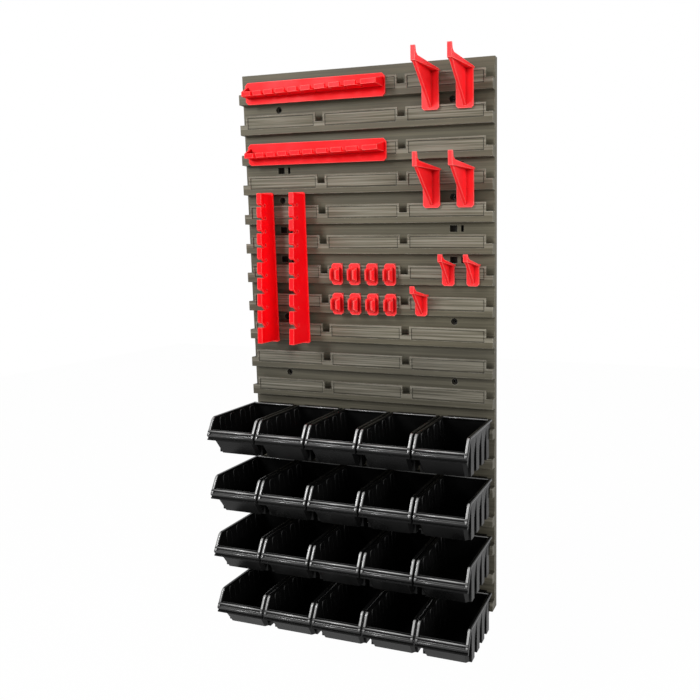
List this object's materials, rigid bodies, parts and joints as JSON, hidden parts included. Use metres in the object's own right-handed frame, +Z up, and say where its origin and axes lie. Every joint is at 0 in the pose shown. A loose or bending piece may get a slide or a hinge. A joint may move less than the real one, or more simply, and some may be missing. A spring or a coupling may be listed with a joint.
{
  "type": "louvred tool storage wall",
  "caption": "Wall-hung storage panel of two stacked louvre panels whose lips carry lift-off open bins, notched tool rails, hooks and spring clips.",
  "frame": {"origin": "centre of the upper panel's four corner screw holes, on the wall plane", "axes": "+X to the right along the wall, +Y into the wall, +Z up"},
  "size_m": [0.39, 0.1313, 0.8051],
  "materials": {
    "panel_plastic": "moulded dark grey, satin",
    "bin_plastic": "moulded black, glossy",
    "holder_plastic": "moulded red, semi-gloss"
  },
  "bodies": {
    "wall": {"panel_upper": "panel_plastic", "panel_lower": "panel_plastic"},
    "bin_row1_column1": {"bin_row1_column1": "bin_plastic"},
    "bin_row1_column2": {"bin_row1_column2": "bin_plastic"},
    "bin_row1_column3": {"bin_row1_column3": "bin_plastic"},
    "bin_row1_column4": {"bin_row1_column4": "bin_plastic"},
    "bin_row1_column5": {"bin_row1_column5": "bin_plastic"},
    "bin_row2_column1": {"bin_row2_column1": "bin_plastic"},
    "bin_row2_column2": {"bin_row2_column2": "bin_plastic"},
    "bin_row2_column3": {"bin_row2_column3": "bin_plastic"},
    "bin_row2_column4": {"bin_row2_column4": "bin_plastic"},
    "bin_row2_column5": {"bin_row2_column5": "bin_plastic"},
    "bin_row3_column1": {"bin_row3_column1": "bin_plastic"},
    "bin_row3_column2": {"bin_row3_column2": "bin_plastic"},
    "bin_row3_column3": {"bin_row3_column3": "bin_plastic"},
    "bin_row3_column4": {"bin_row3_column4": "bin_plastic"},
    "bin_row3_column5": {"bin_row3_column5": "bin_plastic"},
    "bin_row4_column1": {"bin_row4_column1": "bin_plastic"},
    "bin_row4_column2": {"bin_row4_column2": "bin_plastic"},
    "bin_row4_column3": {"bin_row4_column3": "bin_plastic"},
    "bin_row4_column4": {"bin_row4_column4": "bin_plastic"},
    "bin_row4_column5": {"bin_row4_column5": "bin_plastic"},
    "rail_level_1": {"rail_level_1": "holder_plastic"},
    "rail_level_2": {"rail_level_2": "holder_plastic"},
    "rail_upright_1": {"rail_upright_1": "holder_plastic"},
    "rail_upright_2": {"rail_upright_2": "holder_plastic"},
    "hook_large_1": {"hook_large_1": "holder_plastic"},
    "hook_large_2": {"hook_large_2": "holder_plastic"},
    "hook_large_3": {"hook_large_3": "holder_plastic"},
    "hook_large_4": {"hook_large_4": "holder_plastic"},
    "hook_small_1": {"hook_small_1": "holder_plastic"},
    "hook_small_2": {"hook_small_2": "holder_plastic"},
    "hook_small_3": {"hook_small_3": "holder_plastic"},
    "clip_row1_column1": {"clip_row1_column1": "holder_plastic"},
    "clip_row1_column2": {"clip_row1_column2": "holder_plastic"},
    "clip_row1_column3": {"clip_row1_column3": "holder_plastic"},
    "clip_row1_column4": {"clip_row1_column4": "holder_plastic"},
    "clip_row2_column1": {"clip_row2_column1": "holder_plastic"},
    "clip_row2_column2": {"clip_row2_column2": "holder_plastic"},
    "clip_row2_column3": {"clip_row2_column3": "holder_plastic"},
    "clip_row2_column4": {"clip_row2_column4": "holder_plastic"}
  },
  "joints": [
    {"name": "bin_row1_column1_lift", "type": "slide", "parent": "wall", "child": "bin_row1_column1", "axis": [0, 0, 1], "range_m": [0, 0.011]},
    {"name": "bin_row1_column2_lift", "type": "slide", "parent": "wall", "child": "bin_row1_column2", "axis": [0, 0, 1], "range_m": [0, 0.011]},
    {"name": "bin_row1_column3_lift", "type": "slide", "parent": "wall", "child": "bin_row1_column3", "axis": [0, 0, 1], "range_m": [0, 0.011]},
    {"name": "bin_row1_column4_lift", "type": "slide", "parent": "wall", "child": "bin_row1_column4", "axis": [0, 0, 1], "range_m": [0, 0.011]},
    {"name": "bin_row1_column5_lift", "type": "slide", "parent": "wall", "child": "bin_row1_column5", "axis": [0, 0, 1], "range_m": [0, 0.011]},
    {"name": "bin_row2_column1_lift", "type": "slide", "parent": "wall", "child": "bin_row2_column1", "axis": [0, 0, 1], "range_m": [0, 0.011]},
    {"name": "bin_row2_column2_lift", "type": "slide", "parent": "wall", "child": "bin_row2_column2", "axis": [0, 0, 1], "range_m": [0, 0.011]},
    {"name": "bin_row2_column3_lift", "type": "slide", "parent": "wall", "child": "bin_row2_column3", "axis": [0, 0, 1], "range_m": [0, 0.011]},
    {"name": "bin_row2_column4_lift", "type": "slide", "parent": "wall", "child": "bin_row2_column4", "axis": [0, 0, 1], "range_m": [0, 0.011]},
    {"name": "bin_row2_column5_lift", "type": "slide", "parent": "wall", "child": "bin_row2_column5", "axis": [0, 0, 1], "range_m": [0, 0.011]},
    {"name": "bin_row3_column1_lift", "type": "slide", "parent": "wall", "child": "bin_row3_column1", "axis": [0, 0, 1], "range_m": [0, 0.011]},
    {"name": "bin_row3_column2_lift", "type": "slide", "parent": "wall", "child": "bin_row3_column2", "axis": [0, 0, 1], "range_m": [0, 0.011]},
    {"name": "bin_row3_column3_lift", "type": "slide", "parent": "wall", "child": "bin_row3_column3", "axis": [0, 0, 1], "range_m": [0, 0.011]},
    {"name": "bin_row3_column4_lift", "type": "slide", "parent": "wall", "child": "bin_row3_column4", "axis": [0, 0, 1], "range_m": [0, 0.011]},
    {"name": "bin_row3_column5_lift", "type": "slide", "parent": "wall", "child": "bin_row3_column5", "axis": [0, 0, 1], "range_m": [0, 0.011]},
    {"name": "bin_row4_column1_lift", "type": "slide", "parent": "wall", "child": "bin_row4_column1", "axis": [0, 0, 1], "range_m": [0, 0.011]},
    {"name": "bin_row4_column2_lift", "type": "slide", "parent": "wall", "child": "bin_row4_column2", "axis": [0, 0, 1], "range_m": [0, 0.011]},
    {"name": "bin_row4_column3_lift", "type": "slide", "parent": "wall", "child": "bin_row4_column3", "axis": [0, 0, 1], "range_m": [0, 0.011]},
    {"name": "bin_row4_column4_lift", "type": "slide", "parent": "wall", "child": "bin_row4_column4", "axis": [0, 0, 1], "range_m": [0, 0.011]},
    {"name": "bin_row4_column5_lift", "type": "slide", "parent": "wall", "child": "bin_row4_column5", "axis": [0, 0, 1], "range_m": [0, 0.011]},
    {"name": "rail_level_1_lift", "type": "slide", "parent": "wall", "child": "rail_level_1", "axis": [0, 0, 1], "range_m": [0, 0.011]},
    {"name": "rail_level_2_lift", "type": "slide", "parent": "wall", "child": "rail_level_2", "axis": [0, 0, 1], "range_m": [0, 0.011]},
    {"name": "rail_upright_1_lift", "type": "slide", "parent": "wall", "child": "rail_upright_1", "axis": [0, 0, 1], "range_m": [0, 0.011]},
    {"name": "rail_upright_2_lift", "type": "slide", "parent": "wall", "child": "rail_upright_2", "axis": [0, 0, 1], "range_m": [0, 0.011]},
    {"name": "hook_large_1_lift", "type": "slide", "parent": "wall", "child": "hook_large_1", "axis": [0, 0, 1], "range_m": [0, 0.011]},
    {"name": "hook_large_2_lift", "type": "slide", "parent": "wall", "child": "hook_large_2", "axis": [0, 0, 1], "range_m": [0, 0.011]},
    {"name": "hook_large_3_lift", "type": "slide", "parent": "wall", "child": "hook_large_3", "axis": [0, 0, 1], "range_m": [0, 0.011]},
    {"name": "hook_large_4_lift", "type": "slide", "parent": "wall", "child": "hook_large_4", "axis": [0, 0, 1], "range_m": [0, 0.011]},
    {"name": "hook_small_1_lift", "type": "slide", "parent": "wall", "child": "hook_small_1", "axis": [0, 0, 1], "range_m": [0, 0.011]},
    {"name": "hook_small_2_lift", "type": "slide", "parent": "wall", "child": "hook_small_2", "axis": [0, 0, 1], "range_m": [0, 0.011]},
    {"name": "hook_small_3_lift", "type": "slide", "parent": "wall", "child": "hook_small_3", "axis": [0, 0, 1], "range_m": [0, 0.011]},
    {"name": "clip_row1_column1_lift", "type": "slide", "parent": "wall", "child": "clip_row1_column1", "axis": [0, 0, 1], "range_m": [0, 0.011]},
    {"name": "clip_row1_column2_lift", "type": "slide", "parent": "wall", "child": "clip_row1_column2", "axis": [0, 0, 1], "range_m": [0, 0.011]},
    {"name": "clip_row1_column3_lift", "type": "slide", "parent": "wall", "child": "clip_row1_column3", "axis": [0, 0, 1], "range_m": [0, 0.011]},
    {"name": "clip_row1_column4_lift", "type": "slide", "parent": "wall", "child": "clip_row1_column4", "axis": [0, 0, 1], "range_m": [0, 0.011]},
    {"name": "clip_row2_column1_lift", "type": "slide", "parent": "wall", "child": "clip_row2_column1", "axis": [0, 0, 1], "range_m": [0, 0.011]},
    {"name": "clip_row2_column2_lift", "type": "slide", "parent": "wall", "child": "clip_row2_column2", "axis": [0, 0, 1], "range_m": [0, 0.011]},
    {"name": "clip_row2_column3_lift", "type": "slide", "parent": "wall", "child": "clip_row2_column3", "axis": [0, 0, 1], "range_m": [0, 0.011]},
    {"name": "clip_row2_column4_lift", "type": "slide", "parent": "wall", "child": "clip_row2_column4", "axis": [0, 0, 1], "range_m": [0, 0.011]}
  ]
}
